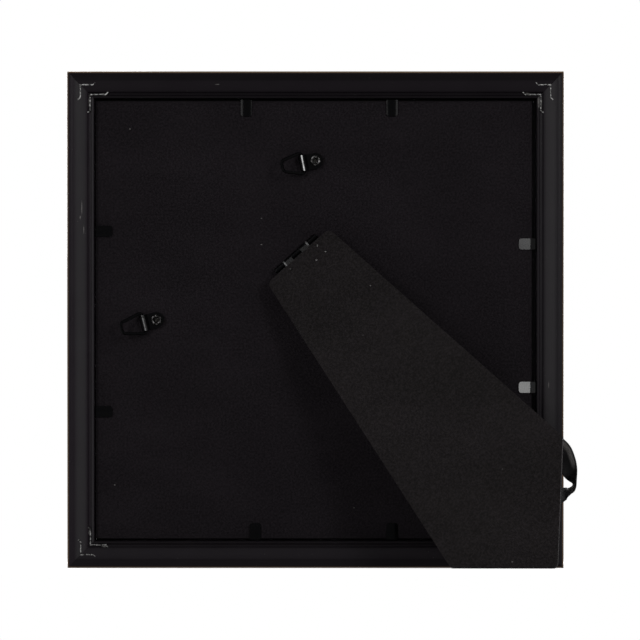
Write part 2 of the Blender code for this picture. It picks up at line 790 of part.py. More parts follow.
def build_hinge(stand, pivot, board_holes, steel):
    """Butt hinge: two leaves with interleaved knuckles, the pin and the board's rivets."""
    fixed_at = range(0, hinge_knuckles, 2)
    moving_at = range(1, hinge_knuckles, 2)
    shape, notches = hinge_leaf(1, moving_at)
    leaf = piece("hinge_board_leaf", shape, steel, stand, hinge_point)
    cut(leaf, cutter("board_leaf_notches", notches, stand, hinge_point))
    shape, notches = hinge_leaf(-1, fixed_at)
    moving = piece("hinge_strut_leaf", shape, steel, pivot)
    cut(moving, cutter("strut_leaf_notches", notches, pivot))
    pin = bmesh.new()
    outline = arc((0, 0), (hinge_pin_radius, hinge_pin_radius), 0, 2 * math.pi, 12)[:-1]
    half = along_hinge * (hinge_width / 2 + hinge_pin_overhang)
    extruded(pin, outline, -half, towards_foot, backwards, half * 2)
    piece("hinge_pin", pin, steel, stand, hinge_point)
    places = [hinge_point + hinge_place(shares) for shares in board_rivet_shares]
    leaf_top = hinge_steel - knuckle_radius
    shank_front = board_front - hinge_axis_depth
    leaf_low = -knuckle_radius
    drill([leaf], places, board_rivet_radius + slot_gap, leaf_low - overrun, leaf_top + overrun,
          "hinge_rivet_holes", stand)
    head_low = leaf_top + seat_gap
    profile = [(0, shank_front), (board_rivet_head_radius, shank_front)]
    profile += [(board_rivet_head_radius, shank_front + rivet_flange)]
    profile += [(board_rivet_radius, shank_front + rivet_flange), (board_rivet_radius, head_low)]
    profile += domed(board_rivet_head_radius, board_rivet_head, head_low)
    for letter, place in zip("ab", places):
        rivet = bmesh.new()
        turned(rivet, profile, place)
        piece(f"hinge_board_rivet_{letter}", rivet, steel, stand)
        rivet_tool(board_holes, place, board_rivet_radius, board_rivet_head_radius,
                   shank_front, velour_back - hinge_axis_depth)
    return moving


def build_strut(pivot, leaf, hardboard, velour, paper, steel):
    """Strut board between its velour cover and liner, riveted to the moving hinge leaf."""
    cover_wall = velour_thickness + glue_gap
    board = strut_layer("strut_board", cover_wall, strut_board_under, strut_board_top,
                        hardboard, pivot)
    cover = strut_layer("strut_cover", 0, strut_under, strut_top, velour, pivot)
    inside = plate(strut_outline(velour_thickness), strut_under - overrun,
                   strut_top - velour_thickness)
    place = Vector((-hinge_point.x, 0, -hinge_point.z))
    bmesh.ops.translate(inside, verts=inside.verts, vec=place)
    cut(cover, cutter("strut_cover_inside", inside, pivot))
    liner = strut_layer("strut_liner", cover_wall, strut_under,
                        strut_under + strut_liner_thickness, paper, pivot)
    places = [hinge_place(shares) for shares in strut_rivet_shares]
    leaf_under = knuckle_radius - hinge_steel
    drill([board, cover, liner, leaf], places, strut_rivet_radius + slot_gap,
          leaf_under - overrun, strut_top + overrun, "strut_rivet_holes", pivot)
    head_low = leaf_under - seat_gap
    head_high = strut_top + slot_gap
    profile = domed(strut_rivet_head_radius, strut_rivet_head, head_low, -1)[::-1]
    profile += [(strut_rivet_radius, head_low), (strut_rivet_radius, head_high)]
    profile += domed(strut_rivet_head_radius, strut_rivet_head, head_high)
    for letter, place in zip("abcd", places):
        rivet = bmesh.new()
        turned(rivet, profile, place)
        piece(f"hinge_strut_rivet_{letter}", rivet, steel, pivot)
    return board, liner


def build_hangers(stand, board_holes, lean, steel):
    """Two D-ring hangers: riveted strap folded round the bar of a wire ring."""
    middle = half_opening - hanger_rail_distance
    rows = (("top", Vector((0, velour_back, middle)), hanger_top_tilt),
            ("side", Vector((middle, velour_back, 0)), hanger_side_tilt))
    for name, rivet, tilt in rows:
        direction = Vector((math.cos(tilt), 0, -math.sin(tilt)))
        across = Vector((math.sin(tilt), 0, math.cos(tilt)))
        folded, stencil, hole, bar_height = strap_parts(direction, across)
        strap = piece(f"hanger_{name}_strap", folded, steel, stand, rivet)
        cut(strap, cutter(f"hanger_{name}_outline", stencil, stand, rivet), "INTERSECT")
        cut(strap, cutter(f"hanger_{name}_hole", hole, stand, rivet))
        hanging = math.atan(math.tan(lean) / math.sin(tilt))
        bar = rivet + direction * strap_loop_distance + backwards * bar_height
        ring = ring_curve(f"hanger_{name}_ring", direction, across, steel, stand, bar)
        ring.rotation_mode = "QUATERNION"
        ring.rotation_quaternion = Quaternion(across, hanging)
        print(f"{name} ring hangs {math.degrees(hanging):.2f} degrees off the board")
        strap_top = seat_gap + 2 * strap_steel + strap_fold_gap
        eyelet = bmesh.new()
        turned(eyelet, eyelet_profile(strap_top), rivet, closed=True)
        piece(f"hanger_{name}_eyelet", eyelet, steel, stand)
        rivet_tool(board_holes, rivet, eyelet_shank_radius, eyelet_rim_radius,
                   board_front - velour_back, 0)


def build_ribbon(stand, pivot, board_holes, strut_board, liner, satin, steel):
    """The limiting ribbon and the staples that hold its ends to backboard and strut."""
    piece("ribbon", ribbon_mesh(), satin, stand)
    middles = ribbon_sections()[0]
    start = middles[ribbon_steps // 2]
    shape = bmesh.new()
    staple_body(shape, start, Vector((0, 0, 1)), backwards, 0)
    piece("ribbon_board_staple", shape, steel, stand)
    staple_body(board_holes, start, Vector((0, 0, 1)), backwards, slot_gap)
    closing_turn = opening_turn.inverted()
    near_end = closing_turn @ (middles[-2] - hinge_point)
    run = closing_turn @ (middles[-1] - middles[-2])
    across = run.cross(backwards).normalized()
    shape = bmesh.new()
    staple_body(shape, near_end, across, -backwards, 0)
    piece("ribbon_strut_staple", shape, steel, pivot)
    shape = bmesh.new()
    staple_body(shape, near_end, across, -backwards, slot_gap)
    slots = cutter("strut_staple_slots", shape, pivot)
    cut(strut_board, slots)
    cut(liner, slots)


def stand_on_origin(stand):
    """Moves the leaning frame so that the origin lies below its middle, on the table."""
    bpy.context.view_layer.update()
    solids = [item for item in bpy.data.objects if item.type != "EMPTY" and not item.hide_render]
    low, high = world_bounds(solids)
    stand.location = (-(low.x + high.x) / 2, -(low.y + high.y) / 2, -low.z)


def main():
    """Builds every piece, opens the strut and leans the frame."""
    clear_scene()
    black = finish("rail_black", (0.020, 0.019, 0.019), 0.42, 0)
    nail_steel_finish = finish("bright_steel", (0.62, 0.61, 0.58), 0.3, 1)
    black_steel = finish("black_steel", (0.03, 0.03, 0.032), 0.35, 0.8)
    clear = finish("clear_glass", (0.9, 0.95, 0.93), 0.02, 0)
    paper = finish("insert_paper", (0.86, 0.84, 0.79), 0.8, 0)
    hardboard = finish("hardboard", (0.03, 0.022, 0.018), 0.8, 0)
    velour = finish("black_velour", (0.012, 0.011, 0.012), 0.95, 0)
    liner_paper = finish("liner_paper", (0.02, 0.02, 0.02), 0.85, 0)
    satin = finish("ribbon_satin", (0.015, 0.014, 0.015), 0.4, 0)

    profile = moulding_profile()
    lean = leaning_angle(profile)
    print(f"lean {math.degrees(lean):.3f} degrees")
    stand = empty("stand")
    stand.rotation_euler.x = -lean
    pivot = empty("strut_pivot", stand, hinge_point)
    pivot.rotation_mode = "QUATERNION"
    pivot.rotation_quaternion = opening_turn

    build_rails(stand, profile, black)
    build_nails(stand, nail_steel_finish)
    build_tabs(stand, black_steel)
    board, facing = build_pack(stand, clear, paper, hardboard, velour)
    board_holes = bmesh.new()
    moving_leaf = build_hinge(stand, pivot, board_holes, black_steel)
    strut_board, liner = build_strut(pivot, moving_leaf, hardboard, velour, liner_paper,
                                     nail_steel_finish)
    build_hangers(stand, board_holes, lean, black_steel)
    build_ribbon(stand, pivot, board_holes, strut_board, liner, satin, nail_steel_finish)
    board_tool = cutter("board_holes", board_holes, stand)
    cut(board, board_tool)
    cut(facing, board_tool)
    stand_on_origin(stand)


main()
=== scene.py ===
# %% [markdown]
# A square tabletop picture frame, seen from behind: black moulding mitred at four corners,
# a backboard faced with black velour, and an easel strut that opens on a skewed hinge.
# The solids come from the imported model. This lesson dresses them: it gives each surface a
# finish made of shader nodes, and it rebuilds the soft pieces (ribbon and velour) as finer
# meshes. Nothing of the solid model is moved.

# %% Load the solid model
import json
import math

import bmesh
import bpy
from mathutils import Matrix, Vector

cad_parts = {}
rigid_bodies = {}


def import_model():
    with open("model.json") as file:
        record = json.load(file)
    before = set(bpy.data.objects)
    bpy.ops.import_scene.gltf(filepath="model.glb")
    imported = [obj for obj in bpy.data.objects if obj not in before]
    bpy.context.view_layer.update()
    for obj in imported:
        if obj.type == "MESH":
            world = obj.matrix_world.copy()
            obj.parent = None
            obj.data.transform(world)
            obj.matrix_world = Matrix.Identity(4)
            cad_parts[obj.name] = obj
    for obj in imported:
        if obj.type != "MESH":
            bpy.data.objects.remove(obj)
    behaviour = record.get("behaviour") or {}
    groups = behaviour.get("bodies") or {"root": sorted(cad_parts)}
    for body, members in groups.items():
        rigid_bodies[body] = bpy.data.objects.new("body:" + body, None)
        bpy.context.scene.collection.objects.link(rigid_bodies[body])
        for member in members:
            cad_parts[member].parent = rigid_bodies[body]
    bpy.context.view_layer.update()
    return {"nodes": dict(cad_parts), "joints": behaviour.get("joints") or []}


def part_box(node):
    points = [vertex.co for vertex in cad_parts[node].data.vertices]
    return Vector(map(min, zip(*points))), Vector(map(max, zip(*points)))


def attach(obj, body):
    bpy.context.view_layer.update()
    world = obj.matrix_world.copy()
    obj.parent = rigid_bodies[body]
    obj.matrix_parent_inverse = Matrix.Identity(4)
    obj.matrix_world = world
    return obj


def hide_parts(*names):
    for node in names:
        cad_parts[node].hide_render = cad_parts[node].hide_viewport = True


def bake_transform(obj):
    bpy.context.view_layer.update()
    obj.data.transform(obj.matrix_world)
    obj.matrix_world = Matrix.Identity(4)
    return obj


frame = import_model()
nodes = frame["nodes"]
mm = 0.001

# %% [markdown]
# The frame leans back, so its own axes differ from the world's: "across" runs to the right
# as seen from the front, "up" runs up the leaning moulding and "back" points out of the
# backboard. The lean is read from a joint whose axis stands square on the backboard, and the
# middle from the four rails. Every measured place on the frame is then one call away.

# %% The frame's own axes
swivel = next(joint for joint in frame["joints"] if joint["name"] == "hanger_top_swivel")
across = Vector((1, 0, 0))
back = Vector(swivel["axis"]).normalized()
up = across.cross(back)
lean = math.atan2(up.y, up.z)
rails = ["top_rail", "right_rail", "bottom_rail", "left_rail"]
rail_corners = [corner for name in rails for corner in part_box(name)]
half_side = (max(c.x for c in rail_corners) - min(c.x for c in rail_corners)) / 2
centre_x = (max(c.x for c in rail_corners) + min(c.x for c in rail_corners)) / 2


def reach(node, direction):
    """How far a node's mesh reaches in a direction, in metres."""
    return max(vertex.co.dot(direction) for vertex in nodes[node].data.vertices)


middle = (centre_x * across
          + (reach("top_rail", up) - half_side) * up
          + reach("top_rail", back) * back)


def place(x, z, y=0.0):
    """A world point from millimetres in the frame's own axes."""
    return middle + (across * x + up * z + back * y) * mm


print("lean", round(math.degrees(lean), 2), "half side", round(half_side / mm, 2))

# %% [markdown]
# The photograph shows no perspective lean at all, so the camera looks square at the back
# from about a metre, which puts it almost on the table. A long lens set by the frame's
# width in the picture, 497 of 640 pixels, finishes the match. It aims at the picture's
# middle, which lies a little beside the frame's. The camera could also be placed level and
# shifted up, but then every other view would keep that shift.

# %% The camera
image_pixels = 640
frame_pixel_x = 315.5
frame_pixel_y = 319.9
pixel = 0.4695 * mm
camera_distance = 1.0
camera_height = 5 * mm
sensor = 36.0

aim = place((frame_pixel_x - image_pixels / 2) * pixel / mm,
            (frame_pixel_y - image_pixels / 2) * pixel / mm)
camera_data = bpy.data.cameras.new("camera")
camera_data.sensor_width = sensor
camera_data.lens = sensor * camera_distance / (image_pixels * pixel)
camera = bpy.data.objects.new("camera", camera_data)
bpy.context.scene.collection.objects.link(camera)
camera.location = aim + back * camera_distance
camera.location.z = camera_height
camera.rotation_mode = "QUATERNION"
camera.rotation_quaternion = (aim - camera.location).to_track_quat("-Z", "Y")
bpy.context.scene.camera = camera
print("lens", round(camera_data.lens, 1), "camera at", [round(v, 3) for v in camera.location])

# %% [markdown]
# Soft studio light: a large softbox on each side of the camera, two more for the front and a
# weaker one overhead, with a dim world filling in. The boxes stand about 30 degrees off the
# camera's line, so that black surfaces seen square on stay black, while round edges and
# rounded steel catch a box each. Small lamps would give harder shadows and sharper glints.

# %% The softboxes
def softbox(name, spot, width, height, power):
    """A rectangular lamp that faces the frame: sizes in metres, power in watts."""
    data = bpy.data.lights.new(name, "AREA")
    data.shape = "RECTANGLE"
    data.size = width
    data.size_y = height
    data.energy = power
    lamp = bpy.data.objects.new(name, data)
    bpy.context.scene.collection.objects.link(lamp)
    lamp.location = spot
    lamp.rotation_mode = "QUATERNION"
    lamp.rotation_quaternion = (middle - Vector(spot)).to_track_quat("-Z", "Y")
    print(name, power, "W")


softbox("left_softbox", (0.65, 1.13, 0.40), 0.25, 0.6, 8)
softbox("right_softbox", (-0.70, 1.10, 0.40), 0.25, 0.6, 8)
softbox("front_left_softbox", (-0.60, -1.2, 0.5), 0.6, 0.8, 8)
softbox("front_right_softbox", (0.50, -1.2, 0.7), 0.6, 0.8, 8)
softbox("overhead_softbox", (0, 0.1, 1.6), 1.0, 1.0, 5)

# %% [markdown]
# A finish works out numbers and colours all over a surface, and a tree of nodes written one
# by one hides that sum. So a small class wraps a node's output, and Python's own operators on
# it add Math nodes. A second class holds one tree and adds any other kind of node with a
# single method. Ready trees could be loaded from a file instead, but then nobody could read
# here how a finish comes about.

# %% Nodes from Python's operators
class Wire:
    """A node's output. Python's operators on it add Math nodes."""

    def __init__(self, finish, socket):
        self.finish = finish
        self.socket = socket

    def math(self, operation, first, second=0.0):
        return self.finish.node("ShaderNodeMath", {"operation": operation}, {0: first, 1: second})

    def __add__(self, other):
        return self.math("ADD", self, other)

    def __sub__(self, other):
        return self.math("SUBTRACT", self, other)

    def __rsub__(self, other):
        return self.math("SUBTRACT", other, self)

    def __mul__(self, other):
        return self.math("MULTIPLY", self, other)

    def __lt__(self, other):
        return self.math("LESS_THAN", self, other)

    def __gt__(self, other):
        return self.math("GREATER_THAN", self, other)

    def __abs__(self):
        return self.math("ABSOLUTE", self)

    __radd__ = __add__
    __rmul__ = __mul__


class Finish:
    """A node tree with one method that adds any node to it."""

    def __init__(self, name, owner=None):
        self.owner = owner or bpy.data.materials.new(name)
        self.owner.use_nodes = True
        self.tree = self.owner.node_tree

    def node(self, kind, settings=None, sockets=None, output=0):
        """Adds a node: its settings first, then values or links for its sockets."""
        made = self.tree.nodes.new(kind)
        for name, value in (settings or {}).items():
            if name == "stops":
                self.set_stops(made.color_ramp, value)
            else:
                setattr(made, name, value)
        for name, value in (sockets or {}).items():
            self.feed(made.inputs[name], value)
        return Wire(self, made.outputs[output])

    def set_stops(self, ramp, stops):
        """Places a colour ramp's stops from pairs of position and grey level."""
        while len(ramp.elements) < len(stops):
            ramp.elements.new(1.0)
        for element, (position, level) in zip(ramp.elements, stops):
            element.position = position
            element.color = (level, level, level, 1)

    def feed(self, socket, value):
        """Gives a socket a link or a plain value."""
        if isinstance(value, Wire):
            self.tree.links.new(value.socket, socket)
        else:
            socket.default_value = value

    def look(self, sockets):
        """Feeds the material's own shader."""
        for name, value in sockets.items():
            self.feed(self.tree.nodes["Principled BSDF"].inputs[name], value)
        print(self.owner.name, "made of", len(self.tree.nodes), "nodes")


def larger(first, second):
    """The larger of an output and another output or number."""
    return first.math("MAXIMUM", first, second)


# %% [markdown]
# The studio's walls are white. A world as bright as that would light the black surfaces too,
# so it is white only to the rays that show it: the camera's, mirror images and those through
# glass. As a light it stays a dim grey. The floor is one large flat board, staged so that it
# isn't taken for a part of the frame.

# %% World and floor
world = bpy.data.worlds.new("studio")
bpy.context.scene.world = world
studio = Finish("studio", world)
world_grey = 0.25


def watched(finish):
    """1 for rays that show the background: seen directly, mirrored or through glass."""
    rays = [finish.node("ShaderNodeLightPath", output="Is " + kind + " Ray")
            for kind in ("Camera", "Glossy", "Transmission")]
    return larger(rays[0], larger(rays[1], rays[2]))


background = studio.tree.nodes["Background"].inputs
studio.feed(background["Color"], (1, 1, 1, 1))
studio.feed(background["Strength"], world_grey + watched(studio) * (1 - world_grey))

floor_mesh = bpy.data.meshes.new("floor")
floor_reach = 6.0
floor_back = 0.35
floor_mesh.from_pydata(
    [(-floor_reach, -floor_reach, 0), (floor_reach, -floor_reach, 0),
     (floor_reach, floor_back, 0), (-floor_reach, floor_back, 0)], [], [(0, 1, 2, 3)])
floor = bpy.data.objects.new("floor", floor_mesh)
bpy.context.scene.collection.objects.link(floor)
bpy.context.scene.view_settings.view_transform = "Standard"
print("floor", 2 * floor_reach, "by", floor_reach + floor_back, "m")

# %% [markdown]
# Every finish starts from the place of the surface in the frame's own axes, in millimetres.
# The meshes hold their world places, so a Mapping node that undoes the lean gives those
# axes directly. The patterns stay fixed to their piece when it moves, because object
# coordinates move with it.

# %% Places and patterns for the finishes
def own_axes(finish):
    """The surface's place in the frame's own axes, in millimetres."""
    point = finish.node("ShaderNodeTexCoord", output="Object")
    settings = {"vector_type": "TEXTURE"}
    sockets = {"Vector": point, "Location": middle, "Rotation": (-lean, 0, 0),
               "Scale": (mm, mm, mm)}
    return finish.node("ShaderNodeMapping", settings, sockets)


def stretched(finish, vector, factors):
    """Scales a vector by a factor for each axis."""
    return finish.node("ShaderNodeVectorMath", {"operation": "MULTIPLY"}, {0: vector, 1: factors})


def parts_of(finish, vector):
    """The three coordinates of a vector."""
    node = finish.node("ShaderNodeSeparateXYZ", sockets={0: vector})
    return [Wire(finish, socket) for socket in node.socket.node.outputs]


def noise(finish, vector, scale, detail=3.0, roughness=0.55):
    """Cloudy noise between 0 and 1; scale is in cells to a millimetre."""
    sockets = {"Vector": vector, "Scale": scale, "Detail": detail, "Roughness": roughness}
    return finish.node("ShaderNodeTexNoise", sockets=sockets)


def between(finish, value, low, high, floor_value=0.0, top=1.0):
    """Turns a range of a value into another, smoothly and without overshoot."""
    sockets = {"Value": value, "From Min": low, "From Max": high, "To Min": floor_value,
               "To Max": top}
    return finish.node("ShaderNodeMapRange", {"interpolation_type": "SMOOTHSTEP"}, sockets)


def mixed(finish, factor, first, second):
    """A colour between two colours."""
    colours = [value if isinstance(value, Wire) else (*value, 1) for value in (first, second)]
    sockets = {0: factor, 6: colours[0], 7: colours[1]}
    return finish.node("ShaderNodeMix", {"data_type": "RGBA"}, sockets, output=2)


def specks(finish, vector, scale, share, size=0.35):
    """Scattered round specks: 1 inside one, 0 elsewhere."""
    settings = {"feature": "F1"}
    cells = {"Vector": vector, "Scale": scale}
    distance = finish.node("ShaderNodeTexVoronoi", settings, cells, output="Distance")
    colour = finish.node("ShaderNodeTexVoronoi", settings, cells, output="Color")
    chosen = parts_of(finish, colour)[0] < share
    return between(finish, distance, size, size * 0.4) * chosen


def bump(finish, height, distance, strength=1.0):
    """A normal from a height; distance is the height's size in millimetres."""
    sockets = {"Height": height, "Distance": distance * mm, "Strength": strength}
    return finish.node("ShaderNodeBump", sockets=sockets)


def dress(finish, *names):
    """Gives CAD nodes their finish."""
    for name in names:
        for slot in nodes[name].material_slots:
            slot.material = finish.owner
    print(finish.owner.name, "on", len(names), "nodes")


# %% [markdown]
# The floor is pale matt board. A diffuse floor alone would render grey far from the lamps, so
# a part of its brightness is given to the camera as plain emission, more of it further out,
# while its shadows come from the diffuse part that stays. The board ends a third of a metre
# behind the frame, as the leaning back would mirror a longer one. Its tint is a very faint
# mottle.

# %% The floor's finish
glow_near = 0.4
glow_far = 2.0
least_glow = 0.5
floor_paint = Finish("floor_paint")
floor_mesh.materials.append(floor_paint.owner)
floor_spot = floor_paint.node("ShaderNodeTexCoord", output="Object")
floor_distance = floor_paint.node("ShaderNodeVectorMath", {"operation": "LENGTH"},
                                  {0: floor_spot}, output="Value")
floor_glow = watched(floor_paint) * between(floor_paint, floor_distance, glow_near, glow_far,
                                            least_glow)
mottle = noise(floor_paint, floor_spot, 3.0)
floor_paint.look({
    "Base Color": mixed(floor_paint, mottle, (0.85, 0.85, 0.85), (0.87, 0.87, 0.87)),
    "Roughness": 0.9,
    "Specular IOR Level": 0.0,
    "Emission Color": mixed(floor_paint, floor_glow, (0, 0, 0), (1, 1, 1)),
    "Emission Strength": 1.0,
})

# %% [markdown]
# The moulding is extruded plastic. Its back is plain satin black with drawn lines along the
# rail, fingerprints that change the gloss, dust, scuffs and glue smeared round the V-nails.
# Scuffs and glue share one table of places. The black carries painted highlight and shade:
# the upright rails are painted paler than the level ones, as the side softboxes light them,
# the top rail darkest, and paler bands follow the profile where its crown and inner lip catch
# the light; a colour ramp reads them from the distance to the frame's edge. The front and the
# outer side carry a dark bronze foil with a brushed grain, whose edge shows from behind as a
# thin warm line. The drawn lines follow each rail and each rail's painted light is its own, so
# every rail gets its own version from the same function.

# %% The moulding's colours, wear and marks
dust_colour = (0.075, 0.072, 0.070)
# The black of each rail, plain and with painted highlight; the uprights are painted paler, the
# top rail darkest.
rail_colours = {
    "right_rail": ((0.0072, 0.0054, 0.0072), (0.0180, 0.0170, 0.0182)),
    "left_rail": ((0.0068, 0.0058, 0.0070), (0.0190, 0.0178, 0.0190)),
    "top_rail": ((0.0022, 0.0016, 0.0022), (0.0054, 0.0042, 0.0054)),
    "bottom_rail": ((0.0034, 0.0026, 0.0033), (0.0096, 0.0084, 0.0098)),
}
# The painted highlight and shade across each rail, as millimetres from the frame's edge and a
# level.
rail_painted_light = {
    "right_rail": [(0.0, 0.30), (1.5, 0.05), (3.4, 0.0), (5.0, 0.85), (6.6, 1.0), (8.4, 0.85),
                   (9.6, 0.05), (10.9, 0.0), (11.5, 0.75), (12.4, 0.9), (12.8, 0.0)],
    "left_rail": [(0.0, 0.45), (1.5, 0.25), (3.4, 0.1), (5.0, 0.9), (6.6, 1.0), (8.4, 0.9),
                  (9.6, 0.05), (10.9, 0.0), (11.5, 0.05), (12.4, 0.1), (12.8, 0.0)],
    "top_rail": [(0.0, 0.45), (1.2, 0.2), (4.0, 0.0), (5.0, 0.85), (7.0, 1.0), (8.8, 0.85),
                 (10.4, 0.1), (12.8, 0.0)],
    "bottom_rail": [(0.0, 0.6), (1.2, 0.5), (4.0, 0.2), (5.0, 0.85), (7.0, 1.0), (8.8, 0.85),
                    (10.4, 0.1), (12.8, 0.0)],
}
painted_light_span = 14.0
bronze_dark = (0.042, 0.026, 0.015)
bronze_light = (0.074, 0.047, 0.029)
# The foil's edges in millimetres: its depth at the side and its reach inwards there, the
# depth where the front begins, and how softly it ends at either.
foil_start = -0.95
foil_reach = 3.0
front_start = -10.7
foil_fade = 0.12
front_fade = 0.2
# Scuffs and glue show no deeper than this, so that none falls on the outer side.
mark_depth = -2.5
# Each mark: its place across and up, its length along the rail and its width.
scuffs = [(109.6, 52.4, 4.2, 0.30), (108.7, 42.3, 2.2, 0.25), (110.3, 48.1, 1.0, 0.35),
          (-109.4, -30.5, 1.6, 0.25), (46.0, 110.4, 1.4, 0.22), (-61.0, -107.0, 1.8, 0.22),
          (105.8, 102.5, 3.6, 0.9), (99.5, 105.7, 1.8, 0.7), (-105.2, 102.3, 3.8, 1.3),
          (-99.5, 106.1, 1.4, 0.6), (105.9, -99.8, 1.8, 0.9), (99.1, -106.3, 1.6, 0.6)]
print(len(scuffs), "marks on", len(rail_painted_light), "rails")


# %% Marks and foil on a rail
def rail_marks(finish, own, along_upright):
    """A mask of the dust on a rail and of the scuffs and glue that are its own."""
    x, y, z = parts_of(finish, own)
    marks = specks(finish, own, 1.3, 0.018, 0.2)
    for mark_x, mark_z, length, width in scuffs:
        if along_upright == (abs(mark_x) > abs(mark_z)):
            run_x, run_z = (width, length) if along_upright else (length, width)
            off_x = (x - mark_x) * (1 / run_x)
            off_z = (z - mark_z) * (1 / run_z)
            ragged = off_x * off_x + off_z * off_z + noise(finish, own, 1.4, detail=3) * 2.2
            marks = marks + between(finish, ragged, 2.2, 1.0) * (y > mark_depth)
    return marks.math("MINIMUM", marks, 1.0)


def foil_cover(finish, depth, inset):
    """A mask of the bronze foil, which covers a rail's outer side and its front."""
    side = between(finish, depth, foil_start + foil_fade, foil_start - foil_fade)
    front = between(finish, depth, front_start, front_start - front_fade)
    return larger(side * (inset < foil_reach), front)


# %% The moulding's finish
def rail_finish(name):
    """Satin black extruded moulding with a bronze foil on its front and outer side."""
    along_upright = name in ("left_rail", "right_rail")
    finish = Finish(name + "_finish")
    own = own_axes(finish)
    x, y, z = parts_of(finish, own)
    lines_scale = (3.2, 3.2, 0.035) if along_upright else (0.035, 3.2, 3.2)
    lines = noise(finish, stretched(finish, own, lines_scale), 1.0, detail=4)
    pebble = noise(finish, own, 2.6, detail=2)
    prints = noise(finish, own, 0.055, detail=4, roughness=0.6)
    inset = half_side / mm - larger(abs(x), abs(z))
    foil = foil_cover(finish, y, inset)
    grain = noise(finish, stretched(finish, own, lines_scale), 2.4, detail=4, roughness=0.6)
    bronze = mixed(finish, between(finish, grain, 0.25, 0.75), bronze_dark, bronze_light)
    stops = [(place_mm / painted_light_span, level) for place_mm, level in rail_painted_light[name]]
    # Painted highlight and shade along the profile come from the ramp; fingerprints and drawn
    # lines are the rail's own.
    painted_light_and_prints = finish.node("ShaderNodeValToRGB", {"stops": stops}, {0: inset * (1 / painted_light_span)})
    handled = between(finish, prints, 0.30, 0.75) * 0.30 + between(finish, lines, 0.3, 0.7) * 0.20
    painted_light_and_prints = painted_light_and_prints * 0.85 + handled * 0.3
    black = mixed(finish, painted_light_and_prints, *rail_colours[name])
    black = mixed(finish, rail_marks(finish, own, along_upright), black, dust_colour)
    gloss = 0.25 + prints * 0.16 + pebble * 0.05 - lines * 0.04
    finish.look({
        "Base Color": mixed(finish, foil, black, bronze),
        "Roughness": gloss - foil * 0.10,
        "Metallic": foil * 0.75,
        "Specular IOR Level": 0.03,
        "Normal": bump(finish, lines + pebble * 0.15 + prints * 0.4, 0.06, 0.8),
    })
    return finish


for rail in rail_painted_light:
    dress(rail_finish(rail), rail)

# %% [markdown]
# Three steels. The V-nails and staples are bare: a metal with fine scratches and dull dark
# patches. The hangers' eyelets and the strut's rivets are bare too, but duller. The hangers,
# the tabs and the hinge are lacquered black. Lacquered steel is not shown as a metal, as its
# coat hides it: it is a smooth, nearly black plastic that only shows glints. Along each strap's
# fold round its ring and near the ends of the hinge's barrel the finishes turn to bare metal in
# narrow bands, placed from the joints' own places and axes. These bands are worn lacquer, with
# place and strength set to give the glints seen there, so they are painted glints as well. A
# painted image could carry them, but it would need a new one for each piece.

# %% The steels
def steel_finish(name, dark, light, rough, wear, metal, shine, relief=None, glint_line=None):
    """Drawn steel between two colours, with rubbed patches and fine scratches."""
    finish = Finish(name)
    own = own_axes(finish)
    drawn = noise(finish, stretched(finish, own, (0.6, 9.0, 9.0)), 1.0, detail=3)
    patches = noise(finish, own, 0.9, detail=5, roughness=0.65)
    wear_and_sheen = between(finish, patches, wear, wear + 0.14)
    colour = mixed(finish, wear_and_sheen, dark, light)
    metallic = metal
    # Bands of bare metal: painted glints, shown as worn lacquer.
    if glint_line:
        glint_bare = glint_line(finish, own)
        colour = mixed(finish, glint_bare, colour, glint_steel)
        metallic = glint_bare
    height = (drawn * 0.5 + patches * 0.5) * 0.01
    if relief:
        height = height + relief(finish, own)
    finish.look({
        "Base Color": colour,
        "Roughness": rough + drawn * 0.06 + wear_and_sheen * 0.10,
        "Metallic": metallic,
        "Specular IOR Level": shine,
        "Normal": bump(finish, height, 1.0),
    })
    return finish


bare_steel = {"dark": (0.016, 0.0155, 0.0155), "light": (0.19, 0.188, 0.185),
              "rough": 0.26, "wear": 0.46, "metal": 1.0, "shine": 0.5}
dull_steel = {"dark": (0.005, 0.0048, 0.0048), "light": (0.066, 0.064, 0.064),
              "rough": 0.28, "wear": 0.48, "metal": 1.0, "shine": 0.5}
black_steel = {"dark": (0.0010, 0.0010, 0.0012), "light": (0.0034, 0.0032, 0.0033),
               "rough": 0.14, "wear": 0.60, "metal": 0.0, "shine": 0.022}
# The bare metal of the painted glint bands.
glint_steel = (0.55, 0.55, 0.55)
dress(steel_finish("bright_steel_finish", **bare_steel),
      *[name for name in nodes if "v_nail" in name or "staple" in name])
dress(steel_finish("dull_steel_finish", **dull_steel),
      *[name for name in nodes if name.endswith("eyelet") or "strut_rivet" in name])
dress(steel_finish("black_steel_finish", **black_steel),
      *[name for name in nodes if name.startswith(("hinge_board_rivet", "tab_root"))
        or name.endswith("_ring")])

# %% The lacquer's worn bands
# A painted glint band is whole within the first half width and gone beyond the second, in
# millimetres.
fold_glint_band = (0.12, 0.42)
fold_glint_share = {"hanger_top_strap": 0.95, "hanger_side_strap": 0.22}
barrel_glint_band = (0.2, 0.5)
barrel_glint_share = 0.10
barrel_ends = (-6.97, 6.97)


def glint_bands(point, direction, places, band, share):
    """A mask of narrow bands across a direction: bare metal of worn lacquer, set as painted
    glints.
    """
    offset = Vector(point) - middle
    whole, gone = band

    def mask(finish, own):
        x, _, z = parts_of(finish, own)
        along = (x - offset.dot(across) / mm) * direction.dot(across)
        along = along + (z - offset.dot(up) / mm) * direction.dot(up)
        bands = 0
        for centre in places:
            bands = between(finish, abs(along - centre), gone, whole) + bands
        patchy = between(finish, noise(finish, own, 0.5, detail=3), 0.30, 0.50)
        return bands * patchy * share

    return mask


